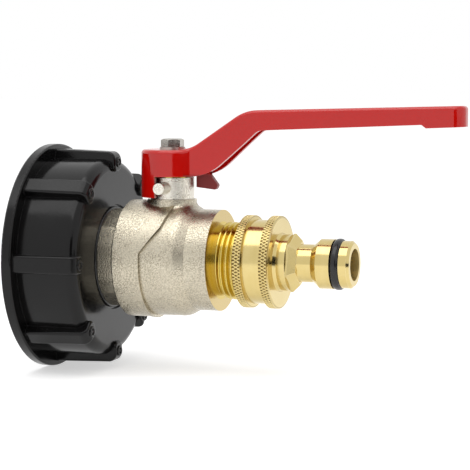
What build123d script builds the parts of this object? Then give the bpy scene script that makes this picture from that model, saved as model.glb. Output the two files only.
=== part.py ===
from build123d import *
import os
from math import radians, sqrt, tan

# Ball valve for the outlet of a bulk liquid tank. Millimetres.
# +X runs along the flow from the open mouth of the screw cap, which is at X = 0.
# +Z runs up the valve stem, and +Y points away from the side with the stop lug.

os.makedirs("parts", exist_ok=True)

# Clearances between mating pieces
fit_gap = 0.05
turn_gap = 0.05
ball_gap = 0.2
stop_gap = 0.3
cut_spare = 1.0

# Screw cap that goes on the tank's outlet
cap_thread_radius = 30.0
cap_thread_depth = 16.8
cap_rim_radius = 39.0
cap_rim_width = 3.6
cap_rim_edge = 0.6
cap_skirt_radius = 34.2
cap_shoulder_radius = 3.6
cap_web_thickness = 5.2
cap_face_recess_depth = 0.8
cap_boss_wall = 4.2
cap_boss_depth = 3.0
rib_count = 8
rib_width = 6.0
rib_height = 3.2
rib_fall = 0.8
rib_proud = 1.3
rib_reach = 7.0
rib_corner = 3.0
rib_edge = 0.8
gasket_thickness = 3.0
gasket_wall = 1.4

# Inlet connector: hexagon collar, thread into the cap and mouth into the body
inlet_thread_radius = 13.2
inlet_thread_length = 8.4
collar_across_flats = 32.2
collar_corner_radius = 16.9
collar_turn = 30
collar_width = 6.0
collar_seal_thickness = 1.2
collar_seal_width = 4.3
collar_seal_edge = 0.5
recess_play = 1.4
body_seal_thickness = 0.4
body_seal_width = 1.8

# Valve body casting
barrel_wall = 6.0
barrel_edge = 0.5
barrel_step = 0.75
ridge_setback = 4.6
ridge_top_reach = 4.2
ridge_knee_height = 3.4
ridge_slope_reach = 1.7
ridge_slope_height = 12.0
bead_width = 1.2
bead_height = 0.25
cavity_radius = 14.2
stem_from_body_end = 14.7
taper_from_stem = 6.8
taper_length = 3.7
taper_round = 6.0
taper_drop = 2.15
outlet_face_from_stem = 18.25
outlet_thread_root_radius = 12.06
outlet_thread_height = 1.16
outlet_thread_length = 17.25
bonnet_radius = 7.5
bonnet_height = 28.1
bonnet_base_radius = 8.4
bonnet_base_rise = 1.25
bonnet_foot_radius = 2.4
lug_radius = 1.95
lug_height = 24.7
lug_reach = 13.1
lug_root_radius = 2.35
lug_root_length = 1.2

# Ball and its seats
ball_radius = 13.2
port_radius = 8.5
slot_width = 5.4
slot_depth = 3.0
seat_depth = 3.0
seat_bore_margin = 0.4

# Stem, packing and gland
stem_radius = 4.4
stem_shoulder_radius = 5.6
stem_shoulder_thickness = 1.5
stem_shoulder_lift = 0.7
tang_length = 9.0
thrust_washer_thickness = 0.5
stem_ring_section = 1.0
stem_ring_height = 18.6
stem_ring_pitch = 2.0
stem_ring_count = 2
packing_outer_radius = 5.9
packing_floor_height = 22.4
packing_thickness = 1.6
packing_count = 2
gland_across_flats = 12.0
gland_head_height = 3.2
gland_lift = 0.3
stem_flat_width = 6.0
stem_end_drop = 0.1
screw_shank_radius = 1.95
screw_shank_length = 9.6
screw_across_flats = 7.0
screw_turn = 30
screw_head_height = 2.8
screw_hole_spare = 0.6
screw_washer_radius = 4.4
screw_washer_thickness = 0.8
screw_washer_play = 0.25

# Lever: cup over the gland, cranked arm and long grip, all one hollow channel
head_radius = 10.7
head_over_gland = 3.3
head_web_thickness = 2.8
head_height = 9.05
lever_edge = 1.3
arm_root_half_width = 7.6
arm_root_fillet = 1.5
arm_bend_half_width = 4.1
arm_bend_round = 25.0
grip_half_width = 4.7
pad_half_width = 5.0
lever_wall = 1.7
channel_web = 2.0
channel_setback = 1.0
crank_start = 8.0
crank_end = 27.4
crank_rise = 13.5
crank_root_radius = 13.0
crank_bend_radius = 14.0
grip_top_slope = 1.5
grip_reach = 102.8
grip_depth = 6.72
grip_under_slope = 2.45
under_bend_reach = 32.4
under_root_reach = 14.6
under_root_radius = 17.0
under_bend_radius = 4.0
pad_length = 14.1
pad_step = 1.1
pad_step_run = 1.6
pad_round = 4.0
tip_plan_corner = 4.0
leg_bottom_height = 21.4
leg_back_wrap = 1.0
leg_gap = 0.6
fin_thickness = 2.0
fin_inner_reach = 7.9
fin_foot_reach = 15.0
fin_toe_reach = 15.8
fin_neck_reach = 11.9
fin_heel_height = 24.7
fin_foot_height = 23.9
fin_toe_height = 25.5
fin_neck_height = 30.5
fin_corner = 0.9

# Hose connector on the outlet thread
connector_gap_to_body = 8.7
socket_length = 12.5
knurl_root_radius = 15.3
knurl_width = 3.2
knurl_edge = 0.5
band_radius = 14.27
nut_entry_depth = 1.2
tap_gasket_thickness = 2.1
tap_gasket_width = 3.4
collar_step_radius = 10.1
collar_step_width = 1.0
hub_radius = 9.5
hub_width = 2.95
shoulder_across_flats = 17.15
shoulder_flat_length = 0.8
shoulder_slope_length = 2.4
shoulder_end_across_flats = 13.0
shoulder_turn = 20
neck_radius = 6.42
neck_length = 4.85
spigot_radius = 8.4
spigot_ramp = 2.3
spigot_land = 4.7
ring_groove_width = 3.1
ring_groove_floor = 7.0
ring_proud = 0.26
ring_round = 1.3
nose_radius = 8.0
nose_land = 2.7
nose_chamfer = 0.9
flow_bore_radius = 5.4

# Places along the flow, each one on from the piece before it
cap_web_back_x = cap_thread_depth + gasket_thickness
cap_face_x = cap_web_back_x + cap_web_thickness
recess_floor_x = cap_face_x - cap_face_recess_depth
collar_back_x = recess_floor_x + collar_seal_thickness
collar_front_x = collar_back_x + collar_width
body_start_x = collar_front_x + body_seal_thickness
stem_x = body_start_x + stem_from_body_end
taper_start_x = stem_x + taper_from_stem
outlet_face_x = stem_x + outlet_face_from_stem
outlet_end_x = outlet_face_x + outlet_thread_length
ball_half_span = sqrt(ball_radius**2 - port_radius**2)
seat_outer_offset = ball_half_span + seat_depth / 2
seat_inner_offset = seat_outer_offset - seat_depth
seat_bore_radius = port_radius + seat_bore_margin
inlet_mouth_x = stem_x - seat_outer_offset
cavity_end_x = stem_x + seat_outer_offset
inlet_thread_start_x = collar_back_x - inlet_thread_length

# Radii of the casting, out from the cavity
barrel_radius = cavity_radius + barrel_wall
waist_radius = barrel_radius - barrel_step
outlet_radius = waist_radius - taper_drop

# Heights along the stem
bonnet_base_height = waist_radius + bonnet_base_rise
tang_bottom_height = ball_radius - slot_depth + ball_gap
shoulder_bottom_height = ball_radius + stem_shoulder_lift
shoulder_top_height = shoulder_bottom_height + stem_shoulder_thickness
bonnet_ledge_height = shoulder_top_height + thrust_washer_thickness
packing_top_height = packing_floor_height + packing_count * packing_thickness
gland_head_bottom = bonnet_height + gland_lift
gland_top_height = gland_head_bottom + gland_head_height
head_web_bottom = gland_top_height + head_over_gland
head_top_height = head_web_bottom + head_web_thickness
head_skirt_height = head_top_height - head_height
washer_top_height = head_top_height + screw_washer_thickness
stem_flats_top = head_top_height - stem_end_drop

# Places along the hose connector
socket_start_x = outlet_face_x + connector_gap_to_body
socket_end_x = socket_start_x + socket_length
tap_gasket_end_x = outlet_end_x + tap_gasket_thickness
collar_step_end_x = socket_end_x + collar_step_width
hub_end_x = collar_step_end_x + hub_width
shoulder_slope_x = hub_end_x + shoulder_flat_length
shoulder_end_x = shoulder_slope_x + shoulder_slope_length
neck_end_x = shoulder_end_x + neck_length
ramp_end_x = neck_end_x + spigot_ramp
groove_start_x = ramp_end_x + spigot_land
groove_end_x = groove_start_x + ring_groove_width
nose_end_x = groove_end_x + nose_land
spigot_end_x = nose_end_x + nose_chamfer

stem_axis = Axis((stem_x, 0, 0), (0, 0, 1))
flow_plane = Plane.YZ
side_plane = Plane.XZ
stem_side_plane = Plane(origin=(stem_x, 0, 0), x_dir=(1, 0, 0), z_dir=(0, -1, 0))


def stem_plane(height):
    """A level plane whose origin is on the stem's axis."""
    return Plane(origin=(stem_x, 0, height), x_dir=(1, 0, 0), z_dir=(0, 0, 1))


def turned_outline(*points):
    """The outline of a piece turned about the flow axis, as places along it and radii."""
    with BuildSketch(side_plane) as outline:
        with BuildLine():
            Polyline(*points, close=True)
        make_face()
    return outline.sketch


def hexagon_outline(plane, across_flats, turn=0):
    """A hexagon of a given width across its flats."""
    with BuildSketch(plane) as outline:
        RegularPolygon(across_flats / 2, 6, major_radius=False, rotation=turn)
    return outline.sketch


# Cap rib: runs up the skirt, turns over the shoulder and ends in a round tip on the face
rib_top_radius = cap_skirt_radius + rib_height
rib_front_radius = rib_top_radius - rib_fall
rib_front_x = cap_face_x + rib_proud
rib_root_radius = (cap_thread_radius + cap_skirt_radius) / 2
rib_tip_radius = rib_front_radius - rib_reach
rib_back_x = cap_rim_width / 2
rib_foot_x = cap_web_back_x + rib_proud

with BuildPart() as cap_rib:
    with BuildSketch(side_plane):
        with BuildLine():
            Polyline(
                (rib_back_x, rib_root_radius),
                (rib_back_x, rib_top_radius),
                (rib_front_x, rib_front_radius),
                (rib_front_x, rib_tip_radius),
                (rib_foot_x, rib_tip_radius),
                (rib_foot_x, rib_root_radius),
                close=True,
            )
        make_face()
    extrude(amount=rib_width / 2, both=True)
    outer_corner = cap_rib.edges().filter_by(Axis.Y).group_by(Axis.X)[-1].sort_by(Axis.Z)[-1]
    fillet(outer_corner, rib_corner)
    tip_corners = (
        cap_rib.edges()
        .filter_by(Axis.X)
        .filter_by_position(Axis.Z, rib_tip_radius - 0.01, rib_tip_radius + 0.01)
    )
    fillet(tip_corners, rib_width / 2 - rib_edge)
    long_edges = (
        cap_rib.edges()
        .filter_by_position(Axis.Z, rib_front_radius - 0.01, rib_top_radius + 0.01)
        .filter_by(Axis.Y, reverse=True)
        .filter_by_position(Axis.X, rib_back_x + rib_edge, rib_front_x)
    )
    fillet(long_edges, rib_edge)

# Cap: rim, skirt, threaded mouth, gasket seat and a boss that takes the inlet thread
mouth_seat_radius = cap_thread_radius - gasket_wall
boss_radius = inlet_thread_radius + cap_boss_wall
boss_back_x = cap_web_back_x - cap_boss_depth
recess_radius = collar_corner_radius + recess_play

with BuildPart() as cap:
    revolve(
        turned_outline(
            (0, cap_thread_radius),
            (0, cap_rim_radius),
            (cap_rim_width, cap_rim_radius),
            (cap_rim_width, cap_skirt_radius),
            (cap_face_x, cap_skirt_radius),
            (cap_face_x, recess_radius),
            (recess_floor_x, recess_radius),
            (recess_floor_x, inlet_thread_radius + fit_gap),
            (boss_back_x, inlet_thread_radius + fit_gap),
            (boss_back_x, boss_radius),
            (cap_web_back_x, boss_radius),
            (cap_web_back_x, mouth_seat_radius),
            (cap_thread_depth, mouth_seat_radius),
            (cap_thread_depth, cap_thread_radius),
        ),
        axis=Axis.X,
    )
    shoulder = (
        cap.edges()
        .filter_by(GeomType.CIRCLE)
        .filter_by(lambda edge: abs(edge.radius - cap_skirt_radius) < 0.01)
        .sort_by(Axis.X)[-1]
    )
    fillet(shoulder, cap_shoulder_radius)
    rim_edges = (
        cap.edges()
        .filter_by(GeomType.CIRCLE)
        .filter_by(lambda edge: abs(edge.radius - cap_rim_radius) < 0.01)
    )
    fillet(rim_edges, cap_rim_edge)
    for index in range(rib_count):
        add(cap_rib.part.rotate(Axis.X, index * 360 / rib_count))
cap.part.label = "cap"
export_step(cap.part, "parts/cap.step")

# Gasket at the bottom of the cap's mouth
with BuildPart() as cap_gasket:
    with BuildSketch(flow_plane.offset(cap_thread_depth)):
        Circle(mouth_seat_radius - fit_gap)
        Circle(boss_radius + 2 * fit_gap, mode=Mode.SUBTRACT)
    extrude(amount=gasket_thickness)
cap_gasket.part.label = "cap_gasket"
export_step(cap_gasket.part, "parts/cap_gasket.step")

# Flat seal between the cap's face and the hexagon collar
with BuildPart() as collar_seal:
    with BuildSketch(flow_plane.offset(recess_floor_x)):
        Circle(inlet_thread_radius + collar_seal_width)
        Circle(inlet_thread_radius + fit_gap, mode=Mode.SUBTRACT)
    extrude(amount=collar_seal_thickness)
    outer_circles = collar_seal.edges().filter_by(GeomType.CIRCLE).group_by(SortBy.RADIUS)[-1]
    fillet(outer_circles, collar_seal_edge)
collar_seal.part.label = "collar_seal"
export_step(collar_seal.part, "parts/collar_seal.step")

# Inlet connector: the collar is a hexagon with its corners turned off
with BuildPart() as inlet_connector:
    extrude(
        hexagon_outline(flow_plane.offset(collar_back_x), collar_across_flats, collar_turn),
        amount=collar_width,
    )
    with BuildSketch(flow_plane.offset(collar_back_x)):
        Circle(collar_corner_radius)
    extrude(amount=collar_width, mode=Mode.INTERSECT)
    with BuildSketch(flow_plane.offset(inlet_thread_start_x)):
        Circle(inlet_thread_radius)
    extrude(amount=inlet_thread_length)
    with BuildSketch(flow_plane.offset(collar_front_x)):
        Circle(cavity_radius - fit_gap)
    extrude(amount=inlet_mouth_x - collar_front_x)
    with BuildSketch(flow_plane.offset(inlet_thread_start_x)):
        Circle(port_radius)
    extrude(amount=inlet_mouth_x - inlet_thread_start_x, mode=Mode.SUBTRACT)
inlet_connector.part.label = "inlet_connector"
export_step(inlet_connector.part, "parts/inlet_connector.step")

# Thin seal in the joint between the collar and the body
with BuildPart() as body_seal:
    with BuildSketch(flow_plane.offset(collar_front_x)):
        Circle(cavity_radius + body_seal_width)
        Circle(cavity_radius, mode=Mode.SUBTRACT)
    extrude(amount=body_seal_thickness)
body_seal.part.label = "body_seal"
export_step(body_seal.part, "parts/body_seal.step")

# Thicker half of the casting: a sleeve whose edge runs round the barrel, then climbs to the bonnet
ridge_x = stem_x - ridge_setback
ridge_top_x = stem_x + ridge_top_reach
ridge_slope_x = stem_x + ridge_slope_reach

with BuildPart() as barrel_sleeve:
    with BuildSketch(flow_plane.offset(body_start_x)):
        Circle(barrel_radius)
    extrude(amount=ridge_top_x - body_start_x)
    chamfer(barrel_sleeve.edges().filter_by(GeomType.CIRCLE).sort_by(Axis.X)[0], barrel_edge)
    with BuildSketch(side_plane):
        with BuildLine():
            Polyline(
                (body_start_x, -barrel_radius),
                (ridge_x, -barrel_radius),
                (ridge_x, ridge_knee_height),
                (ridge_slope_x, ridge_slope_height),
                (ridge_top_x, barrel_radius),
                (body_start_x, barrel_radius),
                close=True,
            )
        make_face()
    extrude(amount=barrel_radius, both=True, mode=Mode.INTERSECT)

# Raised bead along the sleeve's edge
bead_radius = barrel_radius + bead_height

with BuildPart() as edge_bead:
    with BuildSketch(flow_plane.offset(ridge_x - bead_width)):
        Circle(bead_radius)
        Circle(waist_radius - cut_spare, mode=Mode.SUBTRACT)
    extrude(amount=ridge_top_x - ridge_x + bead_width)
    with BuildSketch(side_plane):
        with BuildLine():
            Polyline(
                (ridge_x, -bead_radius),
                (ridge_x, ridge_knee_height),
                (ridge_slope_x, ridge_slope_height),
                (ridge_top_x, bead_radius),
                (ridge_top_x - bead_width, bead_radius),
                (ridge_slope_x - bead_width, ridge_slope_height),
                (ridge_x - bead_width, ridge_knee_height),
                (ridge_x - bead_width, -bead_radius),
                close=True,
            )
        make_face()
    extrude(amount=bead_radius, both=True, mode=Mode.INTERSECT)

# Valve body: barrel, taper to the outlet, threaded outlet, bonnet and stop lug
with BuildPart() as valve_body:
    revolve(
        turned_outline(
            (body_start_x + barrel_edge, 0),
            (body_start_x + barrel_edge, waist_radius),
            (taper_start_x, waist_radius),
            (taper_start_x + taper_length, outlet_radius),
            (outlet_face_x, outlet_radius),
            (outlet_face_x, outlet_thread_root_radius),
            (outlet_end_x - outlet_thread_height, outlet_thread_root_radius),
            (outlet_end_x, outlet_thread_root_radius - outlet_thread_height),
            (outlet_end_x, 0),
        ),
        axis=Axis.X,
    )
    taper_edge = (
        valve_body.edges()
        .filter_by(GeomType.CIRCLE)
        .filter_by(lambda edge: abs(edge.radius - waist_radius) < 0.01)
        .sort_by(Axis.X)[-1]
    )
    fillet(taper_edge, taper_round)
    with BuildSketch(stem_plane(cavity_radius)):
        Circle(bonnet_base_radius)
    extrude(amount=bonnet_base_height - cavity_radius)
    foot_edges = valve_body.edges(Select.LAST).filter_by(
        lambda edge: edge.geom_type == GeomType.BSPLINE and edge.length < 3 * bonnet_base_radius
    )
    fillet(foot_edges, bonnet_foot_radius)
    add(barrel_sleeve.part)
    add(edge_bead.part)
    with BuildSketch(stem_plane(bonnet_base_height)):
        Circle(bonnet_radius)
    extrude(amount=bonnet_height - bonnet_base_height)
    lug_plane = Plane(origin=(stem_x, 0, lug_height), x_dir=(1, 0, 0), z_dir=(0, -1, 0))
    with BuildSketch(lug_plane):
        Circle(lug_radius)
    extrude(amount=lug_reach)
    with BuildSketch(lug_plane.offset(bonnet_radius - cut_spare)):
        Circle(lug_root_radius)
    with BuildSketch(lug_plane.offset(bonnet_radius + lug_root_length)):
        Circle(lug_radius)
    loft()
    with BuildSketch(flow_plane.offset(body_start_x)):
        Circle(cavity_radius)
    extrude(amount=cavity_end_x - body_start_x, mode=Mode.SUBTRACT)
    with BuildSketch(flow_plane.offset(cavity_end_x)):
        Circle(port_radius)
    extrude(amount=outlet_end_x - cavity_end_x, mode=Mode.SUBTRACT)
    with BuildSketch(stem_plane(ball_radius / 2)):
        Circle(stem_shoulder_radius + 2 * turn_gap)
    extrude(amount=bonnet_ledge_height - ball_radius / 2, mode=Mode.SUBTRACT)
    with BuildSketch(stem_plane(bonnet_ledge_height)):
        Circle(stem_radius + turn_gap)
    extrude(amount=bonnet_height - bonnet_ledge_height, mode=Mode.SUBTRACT)
    with BuildSketch(stem_plane(packing_floor_height)):
        Circle(packing_outer_radius)
    extrude(amount=bonnet_height - packing_floor_height, mode=Mode.SUBTRACT)
valve_body.part.label = "valve_body"
export_step(valve_body.part, "parts/valve_body.step")

# Ball with its port and the slot that the stem's tang drives
with BuildPart() as ball:
    with Locations((stem_x, 0, 0)):
        Sphere(ball_radius)
    with BuildSketch(flow_plane.offset(stem_x)):
        Circle(port_radius)
    extrude(amount=ball_radius, both=True, mode=Mode.SUBTRACT)
    with BuildSketch(stem_plane(ball_radius - slot_depth)):
        Rectangle(slot_width, 2 * ball_radius)
    extrude(amount=slot_depth, mode=Mode.SUBTRACT)
ball.part.label = "ball"
export_step(ball.part, "parts/ball.step")


def seat_outline(side):
    """A seat's outline, hollowed to the ball, on the inlet side (-1) or the outlet side (+1)."""
    hollow_radius = ball_radius + ball_gap
    with BuildSketch(side_plane) as outline:
        with BuildLine():
            Polyline(
                (stem_x + side * seat_outer_offset, seat_bore_radius),
                (stem_x + side * seat_outer_offset, cavity_radius - fit_gap),
                (stem_x + side * seat_inner_offset, cavity_radius - fit_gap),
                (stem_x + side * seat_inner_offset, seat_bore_radius),
                close=True,
            )
        make_face()
        with Locations((stem_x, 0)):
            Circle(hollow_radius, mode=Mode.SUBTRACT)
    return outline.sketch


# Seats that the ball turns between
with BuildPart() as inlet_seat:
    revolve(seat_outline(-1), axis=Axis.X)
inlet_seat.part.label = "inlet_seat"
export_step(inlet_seat.part, "parts/inlet_seat.step")

with BuildPart() as outlet_seat:
    revolve(seat_outline(1), axis=Axis.X)
outlet_seat.part.label = "outlet_seat"
export_step(outlet_seat.part, "parts/outlet_seat.step")

# Stem: tang, shoulder that can't blow out, ring grooves, two flats and a tapped end
ring_centre_radius = stem_radius - stem_ring_section / 2
ring_heights = [stem_ring_height + index * stem_ring_pitch for index in range(stem_ring_count)]
screw_tip_height = washer_top_height - screw_shank_length

with BuildPart() as stem:
    with BuildSketch(stem_plane(tang_bottom_height)):
        Rectangle(slot_width - 2 * turn_gap, tang_length)
        Circle(stem_shoulder_radius, mode=Mode.INTERSECT)
    extrude(amount=shoulder_bottom_height - tang_bottom_height)
    with BuildSketch(stem_plane(shoulder_bottom_height)):
        Circle(stem_shoulder_radius)
    extrude(amount=stem_shoulder_thickness)
    with BuildSketch(stem_plane(shoulder_top_height)):
        Circle(stem_radius)
    extrude(amount=head_web_bottom - shoulder_top_height)
    with BuildSketch(stem_plane(head_web_bottom)):
        Circle(stem_radius)
        Rectangle(2 * stem_radius, stem_flat_width, mode=Mode.INTERSECT)
    extrude(amount=stem_flats_top - head_web_bottom)
    for height in ring_heights:
        with BuildSketch(stem_plane(height)):
            Circle(stem_radius + turn_gap)
            Circle(stem_radius - stem_ring_section, mode=Mode.SUBTRACT)
        extrude(amount=stem_ring_section, mode=Mode.SUBTRACT)
    with BuildSketch(stem_plane(screw_tip_height - screw_hole_spare)):
        Circle(screw_shank_radius + fit_gap)
    extrude(amount=stem_flats_top - screw_tip_height + screw_hole_spare, mode=Mode.SUBTRACT)
stem.part.label = "stem"
export_step(stem.part, "parts/stem.step")

# Rubber rings in the stem's grooves
with BuildPart() as stem_rings:
    for height in ring_heights:
        with BuildSketch(stem_side_plane):
            with Locations((ring_centre_radius, height + stem_ring_section / 2)):
                Circle(stem_ring_section / 2 - turn_gap / 2)
        revolve(axis=stem_axis)
stem_rings.part.label = "stem_rings"
export_step(stem_rings.part, "parts/stem_rings.step")

# Thrust washer between the stem's shoulder and the bonnet
with BuildPart() as thrust_washer:
    with BuildSketch(stem_plane(shoulder_top_height)):
        Circle(stem_shoulder_radius)
        Circle(stem_radius + turn_gap, mode=Mode.SUBTRACT)
    extrude(amount=thrust_washer_thickness)
thrust_washer.part.label = "thrust_washer"
export_step(thrust_washer.part, "parts/thrust_washer.step")

# Packing rings, one on the other in the bonnet's chamber
packing_names = ["lower_packing", "upper_packing"]
for index in range(packing_count):
    with BuildPart() as packing:
        with BuildSketch(stem_plane(packing_floor_height + index * packing_thickness)):
            Circle(packing_outer_radius - fit_gap)
            Circle(stem_radius + turn_gap, mode=Mode.SUBTRACT)
        extrude(amount=packing_thickness)
    packing.part.label = packing_names[index]
    export_step(packing.part, "parts/" + packing_names[index] + ".step")

# Gland nut that presses the packing
with BuildPart() as gland_nut:
    with BuildSketch(stem_plane(packing_top_height)):
        Circle(packing_outer_radius - fit_gap)
    extrude(amount=gland_head_bottom - packing_top_height)
    extrude(hexagon_outline(stem_plane(gland_head_bottom), gland_across_flats), amount=gland_head_height)
    with BuildSketch(stem_plane(packing_top_height)):
        Circle(stem_radius + turn_gap)
    extrude(amount=gland_top_height - packing_top_height, mode=Mode.SUBTRACT)
gland_nut.part.label = "gland_nut"
export_step(gland_nut.part, "parts/gland_nut.step")

# Lever, outside shape: a side outline of the crank and a plan outline of cup, arm and grip
crank_start_x = stem_x + crank_start
crank_end_x = stem_x + crank_end
tip_x = stem_x + grip_reach
head_back_x = stem_x - head_radius
crank_top_height = head_top_height + crank_rise
tip_top_height = crank_top_height + (tip_x - crank_end_x) * tan(radians(grip_top_slope))
under_root_x = stem_x + under_root_reach
under_bend_x = stem_x + under_bend_reach
under_bend_height = crank_top_height - grip_depth
pad_start_x = tip_x - pad_length
under_slope = tan(radians(grip_under_slope))
pad_start_height = under_bend_height + (pad_start_x - under_bend_x) * under_slope
pad_under_height = pad_start_height - pad_step
tip_under_height = pad_under_height + (tip_x - pad_start_x - pad_step_run) * under_slope
bend_reach = crank_end
grip_start_reach = grip_reach - pad_length


def crank_outline():
    """The lever seen from the side."""
    with BuildSketch(side_plane) as outline:
        with BuildLine():
            FilletPolyline(
                (head_back_x, head_top_height),
                (crank_start_x, head_top_height),
                (crank_end_x, crank_top_height),
                (tip_x, tip_top_height),
                radius=[crank_root_radius, crank_bend_radius],
            )
            Line((tip_x, tip_top_height), (tip_x, tip_under_height))
            Line((tip_x, tip_under_height), (pad_start_x + pad_step_run, pad_under_height))
            Line((pad_start_x + pad_step_run, pad_under_height), (pad_start_x, pad_start_height))
            FilletPolyline(
                (pad_start_x, pad_start_height),
                (under_bend_x, under_bend_height),
                (under_root_x, head_skirt_height),
                (head_back_x, head_skirt_height),
                radius=[under_bend_radius, under_root_radius],
            )
            Line((head_back_x, head_skirt_height), (head_back_x, head_top_height))
        make_face()
    return outline.sketch


def plan_outline(height, inset):
    """The lever seen from above, its sides drawn in by inset."""
    side_points = [
        (0, arm_root_half_width - inset),
        (bend_reach, arm_bend_half_width - inset),
        (grip_start_reach, grip_half_width - inset),
        (grip_start_reach + pad_step_run, pad_half_width - inset),
        (grip_reach, pad_half_width - inset),
    ]
    side_rounds = [arm_bend_round, pad_round, pad_round]
    with BuildSketch(stem_plane(height)) as outline:
        with BuildLine():
            side = FilletPolyline(*side_points, radius=side_rounds)
            other_side = mirror(side, about=Plane.XZ)
            Line(side @ 1, other_side @ 1)
            Line(side @ 0, other_side @ 0)
        make_face()
        Circle(head_radius - inset)
        cup_corners = outline.vertices().filter_by(
            lambda corner: abs(corner.center().length - head_radius + inset) < 0.01
        )
        fillet(cup_corners, arm_root_fillet)
    return outline.sketch


lever_span = 2 * head_radius
lever_bottom = leg_bottom_height - cut_spare
lever_top = tip_top_height + cut_spare
channel_end_x = pad_start_x - pad_step_run
channel_end_height = tip_top_height - channel_web - (tip_x - channel_end_x) * tan(radians(grip_top_slope))

# Lever, hollow under the arm: the same outlines drawn in by the walls, up to the end pad
with BuildPart() as lever_channel:
    extrude(plan_outline(lever_bottom, lever_wall), amount=lever_top - lever_bottom)
    with BuildSketch(side_plane):
        with BuildLine():
            FilletPolyline(
                (head_back_x, head_web_bottom),
                (crank_start_x + channel_setback, head_web_bottom),
                (crank_end_x + channel_setback, crank_top_height - channel_web),
                (channel_end_x, channel_end_height),
                radius=[crank_root_radius, crank_bend_radius],
            )
            Polyline(
                (channel_end_x, channel_end_height),
                (channel_end_x, lever_bottom),
                (head_back_x, lever_bottom),
                (head_back_x, head_web_bottom),
            )
        make_face()
    extrude(amount=lever_span, both=True, mode=Mode.INTERSECT)

crank_slope = crank_rise / (crank_end - crank_start)
fin_root_height = head_top_height + (fin_neck_reach - crank_start) * crank_slope - channel_web / 2
leg_front = lug_radius + leg_gap
fin_inner = lug_radius + stop_gap

# Lever: outside less hollow, with the stop leg and the stop fin
with BuildPart() as lever:
    extrude(plan_outline(lever_bottom, 0), amount=lever_top - lever_bottom)
    extrude(crank_outline(), amount=lever_span, both=True, mode=Mode.INTERSECT)
    tip_edges = lever.edges().filter_by(Axis.Z).sort_by(Axis.X)[-2:]
    fillet(tip_edges, tip_plan_corner)
    top_faces = lever.faces().filter_by(lambda face: face.normal_at().Z > 0.5)
    top_edges = top_faces.edges().filter_by(
        lambda edge: edge.geom_type != GeomType.LINE or abs(edge.tangent_at(0.5).Y) < 0.5
    )
    fillet(top_edges, lever_edge)
    add(lever_channel.part, mode=Mode.SUBTRACT)
    with BuildSketch(stem_plane(leg_bottom_height)):
        Circle(head_radius)
        Circle(head_radius - lever_wall, mode=Mode.SUBTRACT)
        with Locations((-leg_front - head_radius, leg_back_wrap - head_radius)):
            Rectangle(2 * head_radius, 2 * head_radius, mode=Mode.INTERSECT)
    extrude(amount=head_skirt_height - leg_bottom_height + lever_wall)
    with BuildSketch(Plane(origin=(stem_x, fin_inner, 0), x_dir=(1, 0, 0), z_dir=(0, -1, 0))) as fin_profile:
        with BuildLine():
            Polyline(
                (fin_inner_reach, fin_heel_height),
                (fin_foot_reach, fin_foot_height),
                (fin_toe_reach, fin_toe_height),
                (fin_neck_reach, fin_neck_height),
                (fin_neck_reach, fin_root_height),
                (fin_inner_reach, head_top_height - channel_web / 2),
                close=True,
            )
        make_face()
        fillet(fin_profile.vertices().sort_by(Axis.X)[-2:], fin_corner)
    extrude(amount=-fin_thickness)
    with BuildSketch(stem_plane(head_web_bottom - cut_spare)):
        Circle(stem_radius + fit_gap)
        Rectangle(2 * stem_radius + cut_spare, stem_flat_width + 2 * fit_gap, mode=Mode.INTERSECT)
    extrude(amount=head_web_thickness + 2 * cut_spare, mode=Mode.SUBTRACT)
lever.part.label = "lever"
export_step(lever.part, "parts/lever.step")

# Washer and hexagon screw that hold the lever on the stem
with BuildPart() as lever_washer:
    with BuildSketch(stem_plane(head_top_height)):
        Circle(screw_washer_radius)
        Circle(screw_shank_radius + screw_washer_play, mode=Mode.SUBTRACT)
    extrude(amount=screw_washer_thickness)
lever_washer.part.label = "lever_washer"
export_step(lever_washer.part, "parts/lever_washer.step")

with BuildPart() as lever_screw:
    extrude(
        hexagon_outline(stem_plane(washer_top_height), screw_across_flats, screw_turn),
        amount=screw_head_height,
    )
    with BuildSketch(stem_plane(screw_tip_height)):
        Circle(screw_shank_radius)
    extrude(amount=screw_shank_length)
lever_screw.part.label = "lever_screw"
export_step(lever_screw.part, "parts/lever_screw.step")

# Hose connector: knurled nut, hexagon shoulder, neck and spigot turned from one bar
with BuildPart() as connector_shoulder:
    extrude(
        hexagon_outline(flow_plane.offset(hub_end_x), shoulder_across_flats, shoulder_turn),
        amount=shoulder_flat_length,
    )
    shoulder_start = hexagon_outline(
        flow_plane.offset(shoulder_slope_x), shoulder_across_flats, shoulder_turn
    )
    shoulder_end = hexagon_outline(
        flow_plane.offset(shoulder_end_x), shoulder_end_across_flats, shoulder_turn
    )
    loft(shoulder_start.faces() + shoulder_end.faces())

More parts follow.
